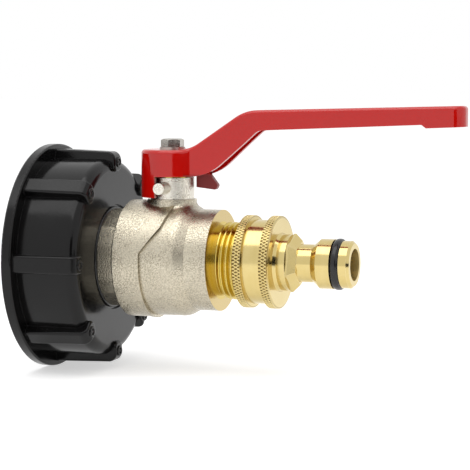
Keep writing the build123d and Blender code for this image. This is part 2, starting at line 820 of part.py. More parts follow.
with BuildPart() as tap_connector:
    revolve(
        turned_outline(
            (socket_start_x, flow_bore_radius),
            (socket_start_x, knurl_root_radius - knurl_edge),
            (socket_start_x + knurl_edge, knurl_root_radius),
            (socket_start_x + knurl_width - knurl_edge, knurl_root_radius),
            (socket_start_x + knurl_width, band_radius),
            (socket_end_x - knurl_width, band_radius),
            (socket_end_x - knurl_width + knurl_edge, knurl_root_radius),
            (socket_end_x - knurl_edge, knurl_root_radius),
            (socket_end_x, knurl_root_radius - knurl_edge),
            (socket_end_x, collar_step_radius),
            (collar_step_end_x, collar_step_radius - knurl_edge),
            (collar_step_end_x, hub_radius),
            (hub_end_x, hub_radius),
            (hub_end_x, neck_radius),
            (neck_end_x, neck_radius),
            (ramp_end_x, spigot_radius),
            (groove_start_x, spigot_radius),
            (groove_start_x, ring_groove_floor),
            (groove_end_x, ring_groove_floor),
            (groove_end_x, nose_radius),
            (nose_end_x, nose_radius),
            (spigot_end_x, nose_radius - nose_chamfer),
            (spigot_end_x, flow_bore_radius),
        ),
        axis=Axis.X,
    )
    add(connector_shoulder.part)
    with BuildSketch(flow_plane.offset(hub_end_x)):
        Circle(flow_bore_radius)
    extrude(amount=shoulder_end_x - hub_end_x, mode=Mode.SUBTRACT)
    with BuildSketch(flow_plane.offset(socket_start_x)):
        Circle(outlet_thread_root_radius + fit_gap)
    extrude(amount=tap_gasket_end_x - socket_start_x, mode=Mode.SUBTRACT)
    with BuildSketch(flow_plane.offset(socket_start_x)):
        Circle(outlet_thread_root_radius + outlet_thread_height + 2 * fit_gap)
    extrude(amount=nut_entry_depth, mode=Mode.SUBTRACT)
tap_connector.part.label = "tap_connector"
export_step(tap_connector.part, "parts/tap_connector.step")

# Gasket in the connector's nut, against the end of the outlet
with BuildPart() as tap_gasket:
    with BuildSketch(flow_plane.offset(outlet_end_x)):
        Circle(outlet_thread_root_radius)
        Circle(outlet_thread_root_radius - tap_gasket_width, mode=Mode.SUBTRACT)
    extrude(amount=tap_gasket_thickness)
tap_gasket.part.label = "tap_gasket"
export_step(tap_gasket.part, "parts/tap_gasket.step")

# Rubber ring in the spigot's groove
ring_width = ring_groove_width - 2 * fit_gap
ring_height = spigot_radius + ring_proud - ring_groove_floor - fit_gap

with BuildPart() as spigot_ring:
    with BuildSketch(side_plane) as ring_profile:
        with Locations((groove_start_x + fit_gap, ring_groove_floor + fit_gap)):
            Rectangle(ring_width, ring_height, align=(Align.MIN, Align.MIN))
        fillet(ring_profile.vertices().group_by(Axis.Y)[-1], ring_round)
    revolve(axis=Axis.X)
spigot_ring.part.label = "spigot_ring"
export_step(spigot_ring.part, "parts/spigot_ring.step")
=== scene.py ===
import bmesh
import bpy
from math import cos, pi, radians, sin, tau
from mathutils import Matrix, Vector


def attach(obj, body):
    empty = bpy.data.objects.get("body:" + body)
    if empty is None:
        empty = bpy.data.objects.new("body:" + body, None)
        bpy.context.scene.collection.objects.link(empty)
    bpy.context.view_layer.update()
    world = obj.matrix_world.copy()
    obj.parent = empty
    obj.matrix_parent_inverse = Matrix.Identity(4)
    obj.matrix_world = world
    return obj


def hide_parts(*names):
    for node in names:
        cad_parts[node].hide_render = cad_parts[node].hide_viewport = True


# Quarter-turn valve for a bulk tank's outlet: finishes, threads, knurl and screw over the solid model.
# Lengths are in metres, in the solid model's own frame.
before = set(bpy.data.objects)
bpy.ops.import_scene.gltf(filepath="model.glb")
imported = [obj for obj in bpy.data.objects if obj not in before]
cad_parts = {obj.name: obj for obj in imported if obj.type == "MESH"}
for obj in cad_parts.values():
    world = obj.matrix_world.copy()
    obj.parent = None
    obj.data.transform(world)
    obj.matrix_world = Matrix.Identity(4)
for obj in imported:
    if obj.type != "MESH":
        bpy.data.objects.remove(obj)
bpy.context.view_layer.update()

# Sizes shared with the solid model
MM = 0.001
STEM_X = 46.5 * MM
COLLAR_RADIUS = 16.9 * MM
BODY_START_X = 31.8 * MM
OUTLET_FACE_X = 64.75 * MM
THREAD_ROOT_RADIUS = 12.06 * MM
THREAD_CREST_RADIUS = 13.2 * MM
THREAD_PITCH = 1.814 * MM
CAP_THREAD_RADIUS = 30.0 * MM
CAP_THREAD_PITCH = 6.0 * MM
CAP_THREAD_HEIGHT = 2.2 * MM
RIB_COUNT = 8
RIB_FRONT_X = 26.3 * MM
RIB_MARK_REACH = 33.0 * MM
SOCKET_START_X = 73.45 * MM
SOCKET_END_X = 85.95 * MM
KNURL_RING_WIDTH = 3.2 * MM
KNURL_EDGE_RADIUS = 14.2 * MM
BONNET_BASE_Z = 20.7 * MM
KNURL_ROOT_RADIUS = 15.3 * MM
KNURL_TIP_RADIUS = 15.72 * MM
LEVER_TOP_Z = 37.7 * MM
FIN_TOP_Z = 30.0 * MM
FLOW_BORE_RADIUS = 5.4 * MM
WASHER_THICKNESS = 0.8 * MM
SCREW_FLATS = 7.0 * MM
SCREW_HEAD = 2.8 * MM

# Colours, as linear values
BLACK_PLASTIC = (0.0045, 0.0042, 0.0043)
NICKEL = (0.70, 0.64, 0.51)
NICKEL_SHADE = (0.27, 0.235, 0.17)
BRASS = (0.71, 0.58, 0.27)
BRASS_DEEP = (0.63, 0.49, 0.19)
THREAD_BRASS = (0.68, 0.52, 0.13)
THREAD_BRASS_DEEP = (0.54, 0.39, 0.06)
STEEL = (0.62, 0.60, 0.56)
RUBBER = (0.005, 0.005, 0.005)
SEAL_WHITE = (0.80, 0.80, 0.76)
CHROME = (0.74, 0.74, 0.75)


# Node helpers

def value_of(colour):
    """A colour with its alpha."""
    return (*colour, 1.0)


class Nodes:
    """Adds nodes to a tree and joins them, left to right."""

    def __init__(self, tree):
        self.tree = tree
        self.column = 0

    def add(self, kind, inputs=None, **settings):
        """A node of that kind with its settings, whose inputs are numbers or other sockets."""
        node = self.tree.nodes.new(kind)
        node.location = (self.column * 180, 0)
        self.column += 1
        for name, setting in settings.items():
            setattr(node, name, setting)
        for name, source in (inputs or {}).items():
            socket = node.inputs[name]
            if isinstance(source, bpy.types.NodeSocket):
                self.tree.links.new(source, socket)
            else:
                socket.default_value = source
        return node

    def math(self, operation, first, second=None, third=None, clamp=False):
        """The result of one sum."""
        inputs = {0: first}
        if second is not None:
            inputs[1] = second
        if third is not None:
            inputs[2] = third
        return self.add("ShaderNodeMath", inputs, operation=operation, use_clamp=clamp).outputs[0]

    def ramp(self, source, low, high, to_low=0.0, to_high=1.0, smooth=True):
        """A value taken from one range to another, kept inside it."""
        node = self.add(
            "ShaderNodeMapRange",
            {"Value": source, "From Min": low, "From Max": high, "To Min": to_low, "To Max": to_high},
            interpolation_type="SMOOTHSTEP" if smooth else "LINEAR",
        )
        return node.outputs["Result"]

    def blend(self, factor, first, second):
        """One colour turning into another."""
        node = self.add("ShaderNodeMix", data_type="RGBA", clamp_factor=True)
        for socket, source in ((node.inputs[0], factor), (node.inputs[6], first), (node.inputs[7], second)):
            if isinstance(source, bpy.types.NodeSocket):
                self.tree.links.new(source, socket)
            else:
                socket.default_value = source
        return node.outputs[2]

    def noise(self, place, scale, detail=2.0, roughness=0.5):
        """Even noise from 0 to 1."""
        node = self.add(
            "ShaderNodeTexNoise",
            {"Vector": place, "Scale": scale, "Detail": detail, "Roughness": roughness},
        )
        return node.outputs["Fac"]


def shader_group(name, inputs, outputs):
    """An empty shader group with named number inputs and outputs."""
    group = bpy.data.node_groups.new(name, "ShaderNodeTree")
    for label, default in inputs:
        socket = group.interface.new_socket(label, in_out="INPUT", socket_type="NodeSocketFloat")
        socket.default_value = default
    for label in outputs:
        group.interface.new_socket(label, in_out="OUTPUT", socket_type="NodeSocketFloat")
    nodes = Nodes(group)
    entry = nodes.add("NodeGroupInput")
    return group, nodes, entry


def close_group(nodes, results):
    """Joins a group's results to its outputs."""
    leave = nodes.add("NodeGroupOutput")
    for label, source in results.items():
        nodes.tree.links.new(source, leave.inputs[label])


# Shared surface effects

def make_cast_skin():
    """Sandblasted casting: a pitted skin over a slow swell of the mould."""
    group, nodes, entry = shader_group(
        "cast_skin", [("Grain", 3200.0), ("Swell", 140.0)], ["Height", "Tone", "Shine"]
    )
    place = nodes.add("ShaderNodeTexCoord").outputs["Object"]
    fine = nodes.noise(place, entry.outputs["Grain"], 3.0, 0.6)
    coarse = nodes.noise(place, nodes.math("MULTIPLY", entry.outputs["Grain"], 0.34), 2.0, 0.5)
    swell = nodes.noise(place, entry.outputs["Swell"], 2.0, 0.5)
    pits = nodes.ramp(fine, 0.30, 0.62)
    height = nodes.math("ADD", nodes.math("MULTIPLY", pits, 0.95), nodes.math("MULTIPLY", coarse, 0.05))
    tone = nodes.math("ADD", nodes.math("MULTIPLY", pits, 0.55), nodes.math("MULTIPLY", swell, 0.45))
    close_group(nodes, {"Height": height, "Tone": tone, "Shine": swell})
    return group


def make_turned_marks():
    """Fine rings that a lathe leaves about the flow axis, on round and on end faces."""
    group, nodes, entry = shader_group("turned_marks", [("Rings", 5200.0)], ["Height", "Tone"])
    place = nodes.add("ShaderNodeTexCoord").outputs["Object"]
    parts = nodes.add("ShaderNodeSeparateXYZ", {"Vector": place})
    across = nodes.add("ShaderNodeCombineXYZ", {"Y": parts.outputs["Y"], "Z": parts.outputs["Z"]})
    radius = nodes.add("ShaderNodeVectorMath", {0: across.outputs[0]}, operation="LENGTH").outputs["Value"]
    along = nodes.math("ADD", parts.outputs["X"], nodes.math("MULTIPLY", radius, 1.37))
    ring_place = nodes.add("ShaderNodeCombineXYZ", {"X": along})
    rings = nodes.noise(ring_place.outputs[0], entry.outputs["Rings"], 2.0, 0.6)
    bands = nodes.noise(ring_place.outputs[0], nodes.math("MULTIPLY", entry.outputs["Rings"], 0.12), 1.0, 0.5)
    height = nodes.math("ADD", nodes.math("MULTIPLY", rings, 0.7), nodes.math("MULTIPLY", bands, 0.3))
    close_group(nodes, {"Height": height, "Tone": bands})
    return group


def make_handling():
    """Uneven shine from handling and a thin settling of dust on faces that look up."""
    group, nodes, entry = shader_group("handling", [("Patch", 90.0), ("Speck", 1500.0)], ["Smear", "Dust"])
    place = nodes.add("ShaderNodeTexCoord").outputs["Object"]
    smear = nodes.ramp(nodes.noise(place, entry.outputs["Patch"], 4.0, 0.6), 0.35, 0.70)
    specks = nodes.ramp(nodes.noise(place, entry.outputs["Speck"], 2.0, 0.5), 0.58, 0.78)
    facing = nodes.add("ShaderNodeNewGeometry").outputs["Normal"]
    upward = nodes.ramp(nodes.add("ShaderNodeSeparateXYZ", {"Vector": facing}).outputs["Z"], 0.2, 1.0)
    close_group(nodes, {"Smear": smear, "Dust": nodes.math("MULTIPLY", specks, upward)})
    return group


def make_edge_wear_and_highlight():
    """A mask that is 1 on sharp edges: rubbed wear on plastic and brass, and a painted highlight on the red coat.
    """
    group, nodes, entry = shader_group("edge_wear_and_highlight", [("Width", 0.0004), ("Break", 900.0)], ["Edge"])
    plain = nodes.add("ShaderNodeNewGeometry").outputs["Normal"]
    rounded = nodes.add("ShaderNodeBevel", {"Radius": entry.outputs["Width"]}, samples=4).outputs["Normal"]
    likeness = nodes.add("ShaderNodeVectorMath", {0: plain, 1: rounded}, operation="DOT_PRODUCT")
    place = nodes.add("ShaderNodeTexCoord").outputs["Object"]
    broken = nodes.noise(place, entry.outputs["Break"], 3.0, 0.6)
    edge = nodes.ramp(likeness.outputs["Value"], 0.985, 0.90)
    close_group(nodes, {"Edge": nodes.math("MULTIPLY", edge, nodes.ramp(broken, 0.25, 0.6))})
    return group


def make_crease_shade():
    """A mask that is 1 deep in corners and joints, for painting shade there."""
    group, nodes, entry = shader_group("crease_shade", [("Reach", 0.001), ("Open", 0.85), ("Shut", 0.35)], ["Shade"])
    shelter = nodes.add("ShaderNodeAmbientOcclusion", {"Distance": entry.outputs["Reach"]}, samples=16)
    shade_mask = nodes.ramp(shelter.outputs["AO"], entry.outputs["Open"], entry.outputs["Shut"])
    close_group(nodes, {"Shade": shade_mask})
    return group


cast_skin = make_cast_skin()
crease_shade = make_crease_shade()
turned_marks = make_turned_marks()
handling = make_handling()
edge_wear_and_highlight = make_edge_wear_and_highlight()


def new_material(name, **plain):
    """A material with one principled shader, its plain values set on the shader's own sockets."""
    material = bpy.data.materials.new(name)
    material.use_nodes = True
    nodes = Nodes(material.node_tree)
    shader = material.node_tree.nodes["Principled BSDF"]
    for label, number in plain.items():
        shader.inputs[label.replace("_", " ")].default_value = number
    return material, nodes, shader


def effect(nodes, group, **inputs):
    """One shared effect placed in a material."""
    node = nodes.add("ShaderNodeGroup", node_tree=group)
    for label, number in inputs.items():
        node.inputs[label].default_value = number
    return node


def bump(nodes, shader, height, distance, strength=1.0):
    """Joins a height to the shader's normal."""
    node = nodes.add("ShaderNodeBump", {"Height": height, "Distance": distance, "Strength": strength})
    nodes.tree.links.new(node.outputs["Normal"], shader.inputs["Normal"])


def join(nodes, source, shader, label):
    """Joins a value to one of the shader's inputs."""
    nodes.tree.links.new(source, shader.inputs[label])


# Finishes

def make_black_plastic():
    """Moulded black plastic, satin, with a faint orange peel and paler rubbed edges."""
    material, nodes, shader = new_material("black_moulded_plastic", IOR=1.34)
    marks = effect(nodes, handling, Patch=60.0, Speck=1800.0)
    edge_mask = effect(nodes, edge_wear_and_highlight, Width=0.0005, Break=700.0)
    place = nodes.add("ShaderNodeTexCoord").outputs["Object"]
    peel = nodes.noise(place, 900.0, 3.0, 0.55)
    colour = nodes.blend(edge_mask.outputs["Edge"], value_of(BLACK_PLASTIC), (0.030, 0.029, 0.030, 1))
    dusty = nodes.blend(nodes.math("MULTIPLY", marks.outputs["Dust"], 0.10), colour, (0.20, 0.20, 0.19, 1))
    join(nodes, dusty, shader, "Base Color")
    join(nodes, nodes.ramp(marks.outputs["Smear"], 0, 1, 0.15, 0.23), shader, "Roughness")
    bump(nodes, shader, peel, 0.000012)
    return material


def axis_distance(nodes):
    """Distance from the flow axis."""
    place = nodes.add("ShaderNodeTexCoord").outputs["Object"]
    parts = nodes.add("ShaderNodeSeparateXYZ", {"Vector": place})
    across = nodes.add("ShaderNodeCombineXYZ", {"Y": parts.outputs["Y"], "Z": parts.outputs["Z"]})
    return nodes.add("ShaderNodeVectorMath", {0: across.outputs[0]}, operation="LENGTH").outputs["Value"]


def make_cast_nickel():
    """Sandblasted and plated casting: painted shade in its creases and along the body's rear edge, a lighter copy
    painted above the bonnet's foot as painted light, bare turned brass where it is cut.
    """
    material, nodes, shader = new_material("cast_nickel", Metallic=1.0)
    skin = effect(nodes, cast_skin, Grain=2300.0, Swell=140.0)
    turned = effect(nodes, turned_marks, Rings=5200.0)
    place = nodes.add("ShaderNodeTexCoord").outputs["Object"]
    along = nodes.add("ShaderNodeSeparateXYZ", {"Vector": place}).outputs["X"]
    outlet = nodes.math("GREATER_THAN", along, OUTLET_FACE_X - 0.02 * MM)
    bore = nodes.math("LESS_THAN", axis_distance(nodes), 14.3 * MM)
    bare = nodes.math("MAXIMUM", outlet, bore)
    # Painted light: above the bonnet's foot the nickel turns to a lighter copy of itself.
    height = nodes.add("ShaderNodeSeparateXYZ", {"Vector": place}).outputs["Z"]
    upper = nodes.ramp(height, BONNET_BASE_Z - 0.2 * MM, BONNET_BASE_Z + 0.4 * MM)
    joint_shade = effect(nodes, crease_shade, Reach=1.0 * MM, Open=0.62, Shut=0.28)
    plated = nodes.blend(skin.outputs["Tone"], value_of(NICKEL_SHADE), value_of(NICKEL))
    smooth = nodes.blend(skin.outputs["Tone"], (0.50, 0.45, 0.36, 1), (0.95, 0.92, 0.84, 1))
    plated = nodes.blend(upper, plated, smooth)
    # Painted shadow: a dark line where the body's rear edge meets the collar.
    gap_shadow_line = nodes.math("MULTIPLY", nodes.ramp(along, BODY_START_X + 0.40 * MM, BODY_START_X + 0.20 * MM),
                           nodes.math("GREATER_THAN", axis_distance(nodes), COLLAR_RADIUS + 0.3 * MM))
    # Painted shade in the casting's creases and along that line darkens the nickel.
    painted_shade = nodes.math("MAXIMUM", nodes.math("MULTIPLY", joint_shade.outputs["Shade"], 0.65), gap_shadow_line)
    plated = nodes.blend(painted_shade, plated, (0.030, 0.024, 0.018, 1))
    brass = nodes.blend(turned.outputs["Tone"], value_of(THREAD_BRASS_DEEP), value_of(THREAD_BRASS))
    end_face = nodes.math("GREATER_THAN", axis_distance(nodes), THREAD_CREST_RADIUS + 0.1 * MM)
    brass = nodes.blend(end_face, brass, (0.58, 0.44, 0.175, 1))
    join(nodes, nodes.blend(bare, plated, brass), shader, "Base Color")
    blasted = nodes.ramp(skin.outputs["Shine"], 0.3, 0.7, 0.22, 0.30)
    roughness = nodes.add("ShaderNodeMix", {0: bare, 2: blasted, 3: 0.20}, data_type="FLOAT").outputs[0]
    join(nodes, roughness, shader, "Roughness")
    skin_height = nodes.math("MULTIPLY", skin.outputs["Height"], nodes.math("SUBTRACT", 1.0, bare))
    cut_height = nodes.math("MULTIPLY", turned.outputs["Height"], nodes.math("MULTIPLY", bare, 0.05))
    bump(nodes, shader, nodes.math("ADD", skin_height, cut_height), 0.00004)
    return material


def make_brass(name, shine, rings, pale, deep, pits=False):
    """Turned brass: ring marks, slow colour change, rubbed edges, and darker towards the bottom of the knurl's
    pits.
    """
    material, nodes, shader = new_material(name, Metallic=1.0)
    turned = effect(nodes, turned_marks, Rings=rings)
    marks = effect(nodes, handling, Patch=120.0, Speck=1600.0)
    edge_mask = effect(nodes, edge_wear_and_highlight, Width=0.00025, Break=1200.0)
    tone = nodes.math("ADD", nodes.math("MULTIPLY", turned.outputs["Tone"], 0.5),
                      nodes.math("MULTIPLY", marks.outputs["Smear"], 0.4))
    colour = nodes.blend(tone, value_of(deep), value_of(pale))
    colour = nodes.blend(nodes.math("MULTIPLY", edge_mask.outputs["Edge"], 0.6), colour, (0.95, 0.82, 0.52, 1))
    if pits:
        # Darker towards the bottom of the knurl's pits.
        depth = nodes.ramp(axis_distance(nodes), KNURL_ROOT_RADIUS + 0.30 * MM, KNURL_ROOT_RADIUS + 0.06 * MM)
        above = nodes.math("GREATER_THAN", axis_distance(nodes), KNURL_ROOT_RADIUS)
        colour = nodes.blend(nodes.math("MULTIPLY", depth, nodes.math("MULTIPLY", above, 0.75)), colour,
                             (0.16, 0.10, 0.03, 1))
    join(nodes, colour, shader, "Base Color")
    bore = nodes.math("LESS_THAN", axis_distance(nodes), FLOW_BORE_RADIUS + 0.05 * MM)
    even = nodes.ramp(marks.outputs["Smear"], 0, 1, shine, shine + 0.07)
    join(nodes, nodes.math("MAXIMUM", even, nodes.math("MULTIPLY", bore, 0.5)), shader, "Roughness")
    bump(nodes, shader, turned.outputs["Height"], 0.000004)
    return material


def make_red_paint():
    """Gloss red powder coat with a slight orange peel, a painted highlight on its edges and painted shade in its
    corners and on the fin.
    """
    material, nodes, shader = new_material("gloss_red_coat", IOR=1.5, Coat_Weight=0.15, Coat_Roughness=0.05)
    marks = effect(nodes, handling, Patch=70.0, Speck=1700.0)
    place = nodes.add("ShaderNodeTexCoord").outputs["Object"]
    peel = nodes.noise(place, 420.0, 2.0, 0.5)
    edge_mask = effect(nodes, edge_wear_and_highlight, Width=0.0005, Break=500.0)
    deep = nodes.blend(peel, (0.59, 0.0030, 0.0010, 1), (0.65, 0.0045, 0.0018, 1))
    # Painted highlight: the coat's edges pale towards pink.
    colour = nodes.blend(nodes.math("MULTIPLY", edge_mask.outputs["Edge"], 0.5), deep, (0.85, 0.16, 0.14, 1))
    # Painted shade: the coat darkens deep in its corners.
    corner_shade = effect(nodes, crease_shade, Reach=3.0 * MM, Open=0.9, Shut=0.3)
    colour = nodes.blend(nodes.math("MULTIPLY", corner_shade.outputs["Shade"], 0.7), colour, (0.10, 0.001, 0.001, 1))
    # Painted shade: the fin under the lever, beyond the stem, is darkened; it is also rougher.
    along = nodes.add("ShaderNodeSeparateXYZ", {"Vector": place})
    beyond = nodes.math("GREATER_THAN", along.outputs["X"], STEM_X + 7.0 * MM)
    shaded_fin = nodes.math("MULTIPLY", beyond, nodes.ramp(along.outputs["Z"], FIN_TOP_Z, FIN_TOP_Z - 1.5 * MM))
    colour = nodes.blend(nodes.math("MULTIPLY", shaded_fin, 0.75), colour, (0.14, 0.001, 0.001, 1))
    join(nodes, colour, shader, "Base Color")
    gloss = nodes.ramp(marks.outputs["Smear"], 0, 1, 0.10, 0.16)
    join(nodes, nodes.math("MAXIMUM", gloss, nodes.math("MULTIPLY", shaded_fin, 0.45)), shader, "Roughness")
    bump(nodes, shader, peel, 0.00001)
    return material


def make_steel():
    """Zinc-plated steel, lightly scratched."""
    material, nodes, shader = new_material("zinc_plated_steel", Metallic=1.0)
    marks = effect(nodes, handling, Patch=200.0, Speck=2600.0)
    place = nodes.add("ShaderNodeTexCoord").outputs["Object"]
    stretched = nodes.add("ShaderNodeMapping", {"Vector": place, "Scale": (1.0, 1.0, 9.0)}).outputs[0]
    scratches = nodes.noise(stretched, 1400.0, 4.0, 0.6)
    join(nodes, nodes.blend(scratches, (0.36, 0.34, 0.30, 1), value_of(STEEL)), shader, "Base Color")
    join(nodes, nodes.ramp(marks.outputs["Smear"], 0, 1, 0.26, 0.36), shader, "Roughness")
    bump(nodes, shader, scratches, 0.00001)
    return material


def make_soft(name, colour, paler, low, high, grain):
    """A seal's material: rubber or white sealing plastic, with a fine grain."""
    material, nodes, shader = new_material(name, IOR=1.5)
    marks = effect(nodes, handling, Patch=150.0, Speck=2000.0)
    place = nodes.add("ShaderNodeTexCoord").outputs["Object"]
    skin = nodes.noise(place, grain, 3.0, 0.6)
    tint = nodes.blend(nodes.math("MULTIPLY", skin, 0.6), value_of(colour), value_of(paler))
    join(nodes, tint, shader, "Base Color")
    join(nodes, nodes.ramp(marks.outputs["Smear"], 0, 1, low, high), shader, "Roughness")
    bump(nodes, shader, skin, 0.00001)
    return material


def make_chrome():
    """Polished chromed ball, with faint smears."""
    material, nodes, shader = new_material("chromed_ball", Metallic=1.0)
    marks = effect(nodes, handling, Patch=180.0, Speck=2400.0)
    join(nodes, nodes.blend(marks.outputs["Smear"], value_of(CHROME), (0.66, 0.66, 0.66, 1)), shader, "Base Color")
    join(nodes, nodes.ramp(marks.outputs["Smear"], 0, 1, 0.05, 0.12), shader, "Roughness")
    return material


black_plastic = make_black_plastic()
cast_nickel = make_cast_nickel()
polished_brass = make_brass("polished_brass", 0.13, 4200.0, BRASS, BRASS_DEEP)
knurled_brass = make_brass("knurled_brass", 0.20, 4200.0, BRASS, BRASS_DEEP, pits=True)
cut_brass = make_brass("cut_brass", 0.16, 6400.0, THREAD_BRASS, THREAD_BRASS_DEEP)
red_coat = make_red_paint()
plated_steel = make_steel()
rubber = make_soft("black_rubber", RUBBER, (0.012, 0.012, 0.013), 0.22, 0.34, 2200.0)
seal_plastic = make_soft("white_sealing_plastic", SEAL_WHITE, (0.88, 0.88, 0.85), 0.30, 0.42, 1200.0)
chrome = make_chrome()

# Each solid's finish
finishes = {
    "cap": black_plastic,
    "cap_gasket": rubber,
    "collar_seal": rubber,
    "inlet_connector": cast_nickel,
    "body_seal": seal_plastic,
    "valve_body": cast_nickel,
    "ball": chrome,
    "inlet_seat": seal_plastic,
    "outlet_seat": seal_plastic,
    "stem": cut_brass,
    "stem_rings": rubber,
    "thrust_washer": seal_plastic,
    "lower_packing": seal_plastic,
    "upper_packing": seal_plastic,
    "gland_nut": cut_brass,
    "lever": red_coat,
    "lever_washer": plated_steel,
    "lever_screw": plated_steel,
    "tap_connector": polished_brass,
    "tap_gasket": rubber,
    "spigot_ring": rubber,
}
for node_name, finish in finishes.items():
    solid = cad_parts[node_name]
    for material_slot in solid.material_slots:
        material_slot.material = finish


# Geometry node trees

def geometry_tree(name, inputs):
    """A geometry tree with named inputs: a number each, or a material."""
    tree = bpy.data.node_groups.new(name, "GeometryNodeTree")
    tree.interface.new_socket("Geometry", in_out="INPUT", socket_type="NodeSocketGeometry")
    for label, kind, default in inputs:
        socket = tree.interface.new_socket(label, in_out="INPUT", socket_type=kind)
        if default is not None:
            socket.default_value = default
    tree.interface.new_socket("Geometry", in_out="OUTPUT", socket_type="NodeSocketGeometry")
    nodes = Nodes(tree)
    entry = nodes.add("NodeGroupInput")
    return tree, nodes, entry


def close_tree(nodes, geometry, material):
    """Ends a tree in real mesh with its material."""
    real = nodes.add("GeometryNodeRealizeInstances", {"Geometry": geometry})
    dressed = nodes.add("GeometryNodeSetMaterial", {"Geometry": real.outputs[0], "Material": material})
    leave = nodes.add("NodeGroupOutput")
    nodes.tree.links.new(dressed.outputs[0], leave.inputs[0])


def grown_piece(name, tree, values):
    """Runs a tree with its values and keeps the result as a plain mesh."""
    seed = bpy.data.objects.new(name + "_seed", bpy.data.meshes.new(name + "_seed"))
    bpy.context.scene.collection.objects.link(seed)
    modifier = seed.modifiers.new("grow", "NODES")
    modifier.node_group = tree
    for item in tree.interface.items_tree:
        if item.item_type == "SOCKET" and item.in_out == "INPUT" and item.name in values:
            modifier[item.identifier] = values[item.name]
    graph = bpy.context.evaluated_depsgraph_get()
    mesh = bpy.data.meshes.new_from_object(seed.evaluated_get(graph))
    mesh.name = name
    piece = bpy.data.objects.new(name, mesh)
    bpy.context.scene.collection.objects.link(piece)
    seed.modifiers.remove(modifier)
    bpy.data.objects.remove(seed)
    return piece


def make_thread_tree():
    """A thread's ridge: a trapezoid swept along a helix, thinned out at both ends."""
    tree, nodes, entry = geometry_tree("thread_ridge", [
        ("Turns", "NodeSocketFloat", 4.0),
        ("Pitch", "NodeSocketFloat", 0.0018),
        ("Root radius", "NodeSocketFloat", 0.012),
        ("Height", "NodeSocketFloat", 0.001),
        ("Root width", "NodeSocketFloat", 0.0016),
        ("Crest width", "NodeSocketFloat", 0.0004),
        ("Fade", "NodeSocketFloat", 0.08),
        ("Steps", "NodeSocketInt", 96),
        ("Start", "NodeSocketVector", (0.0, 0.0, 0.0)),
        ("Material", "NodeSocketMaterial", None),
    ])
    values = entry.outputs
    length = nodes.math("MULTIPLY", values["Turns"], values["Pitch"])
    spiral = nodes.add("GeometryNodeCurveSpiral", {
        "Resolution": values["Steps"],
        "Rotations": values["Turns"],
        "Start Radius": values["Root radius"],
        "End Radius": values["Root radius"],
        "Height": length,
    })
    upright = nodes.add("GeometryNodeSetCurveNormal", {"Curve": spiral.outputs[0]}, mode="Z_UP")
    along = nodes.add("GeometryNodeSplineParameter").outputs["Factor"]
    back = nodes.math("SUBTRACT", 1.0, along)
    rise = nodes.math("DIVIDE", nodes.math("MINIMUM", along, back), values["Fade"], clamp=True)
    swell = nodes.math("MAXIMUM", nodes.math("SQRT", rise), 0.05)
    tooth = nodes.add("GeometryNodeCurvePrimitiveQuadrilateral", {
        "Height": nodes.math("ABSOLUTE", values["Height"]),
        "Bottom Width": values["Root width"],
        "Top Width": values["Crest width"],
        "Offset": 0.0,
    }, mode="TRAPEZOID")
    lift = nodes.math("MULTIPLY", values["Height"], -0.5)
    way = nodes.math("SIGN", values["Height"])
    flip = nodes.add("ShaderNodeCombineXYZ", {"X": 1.0, "Y": way, "Z": way})
    place = nodes.add("ShaderNodeCombineXYZ", {"X": lift})
    raised = nodes.add("GeometryNodeTransform", {
        "Geometry": tooth.outputs[0], "Translation": place.outputs[0],
        "Rotation": (0.0, 0.0, pi / 2), "Scale": flip.outputs[0],
    })
    ridge = nodes.add("GeometryNodeCurveToMesh", {
        "Curve": upright.outputs[0], "Profile Curve": raised.outputs[0], "Scale": swell, "Fill Caps": True,
    })
    laid = nodes.add("GeometryNodeTransform", {
        "Geometry": ridge.outputs[0], "Translation": values["Start"], "Rotation": (0.0, pi / 2, 0.0),
    })
    close_tree(nodes, laid.outputs[0], values["Material"])
    return tree


